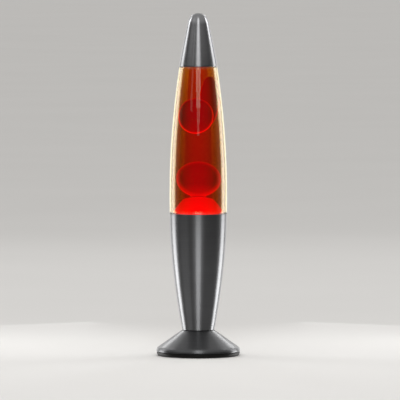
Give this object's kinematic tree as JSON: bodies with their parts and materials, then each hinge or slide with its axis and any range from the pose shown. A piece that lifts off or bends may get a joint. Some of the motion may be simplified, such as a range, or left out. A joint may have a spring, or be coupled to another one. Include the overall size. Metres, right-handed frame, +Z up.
{
  "type": "lava lamp",
  "caption": "Rocket-shaped lava lamp: brushed metal base and cap, glass bottle of amber liquid with red wax, reflector bulb in the base.",
  "frame": {"origin": "centre of the foot's underside", "axes": "+Z up along the lamp's axis, -Y to the front, +Y to the back where the cable leaves, +X to the right seen from the front"},
  "size_m": [0.0834, 0.0834, 0.34],
  "materials": {
    "aluminium": "brushed, satin anodised grey",
    "steel": "plain zinc-plated",
    "brass": "bright drawn",
    "black_plastic": "moulded matt",
    "porcelain": "glazed white",
    "clear_glass": "clear polished",
    "frosted_glass": "frosted front over a silvered reflector",
    "amber_liquid": "clear amber liquid",
    "red_wax": "translucent red wax",
    "crown_steel": "tin-plated",
    "polymer": "natural nylon",
    "brown_wire": "brown insulation",
    "blue_wire": "blue insulation"
  },
  "bodies": {
    "base": {"base_cone": "aluminium", "foot_shell": "aluminium", "foot_ring": "black_plastic", "bottom_plate": "steel", "plate_screw_1": "steel", "plate_screw_2": "steel", "plate_screw_3": "steel", "cable_bush": "black_plastic", "nipple": "brass", "nipple_nut": "steel", "nipple_washer_lower": "steel", "nipple_washer_upper": "steel", "holder_dome": "black_plastic", "holder_insert": "porcelain", "holder_skirt": "black_plastic", "holder_sleeve": "brass", "centre_contact": "brass", "holder_screw_live": "brass", "holder_screw_neutral": "brass", "live_lead": "brown_wire", "neutral_lead": "blue_wire", "terminal_block": "polymer", "block_screw_1": "brass", "block_screw_2": "brass", "block_screw_3": "brass", "block_screw_4": "brass", "block_fixing_screw": "steel"},
    "bulb_glass": {"bulb_envelope": "frosted_glass"},
    "bulb_cap": {"bulb_screw_cap": "brass", "bulb_insulator": "black_plastic", "bulb_tip_contact": "steel", "bulb_stem": "clear_glass", "bulb_lead_1": "steel", "bulb_lead_2": "steel", "bulb_filament": "steel"},
    "globe": {"globe_glass": "clear_glass", "crown_cap": "crown_steel", "crown_liner": "polymer", "liquid": "amber_liquid", "wax_pool": "red_wax", "heat_coil": "steel"},
    "wax_lower": {"wax_blob_lower": "red_wax"},
    "wax_front": {"wax_blob_front": "red_wax"},
    "wax_back": {"wax_blob_back": "red_wax"},
    "cap": {"cap_shell": "aluminium"}
  },
  "joints": [
    {"name": "globe_lift", "type": "slide", "parent": "base", "child": "globe", "axis": [0, 0, 1], "range_m": [0, 0.06]},
    {"name": "cap_lift", "type": "slide", "parent": "globe", "child": "cap", "axis": [0, 0, 1], "range_m": [0, 0.06]},
    {"name": "bulb_lift", "type": "slide", "parent": "base", "child": "bulb_glass", "axis": [0, 0, 1], "range_m": [0, 0.0113]},
    {"name": "bulb_turn", "type": "hinge", "parent": "bulb_glass", "child": "bulb_cap", "pos_m": [0, 0, 0.07], "axis": [0, 0, 1], "range_deg": [0, 1440]},
    {"name": "wax_lower_rise", "type": "slide", "parent": "globe", "child": "wax_lower", "axis": [0, 0, 1], "range_m": [0, 0.022], "deforming": ["liquid"]},
    {"name": "wax_front_rise", "type": "slide", "parent": "globe", "child": "wax_front", "axis": [0, 0, 1], "range_m": [-0.02, 0.003], "deforming": ["liquid"]},
    {"name": "wax_back_rise", "type": "slide", "parent": "globe", "child": "wax_back", "axis": [0, 0, 1], "range_m": [-0.016, 0.001], "deforming": ["liquid"]}
  ],
  "couplings": [
    {"joint": "bulb_lift", "follows": "bulb_turn", "m_per_rad": 0.00044913}
  ]
}
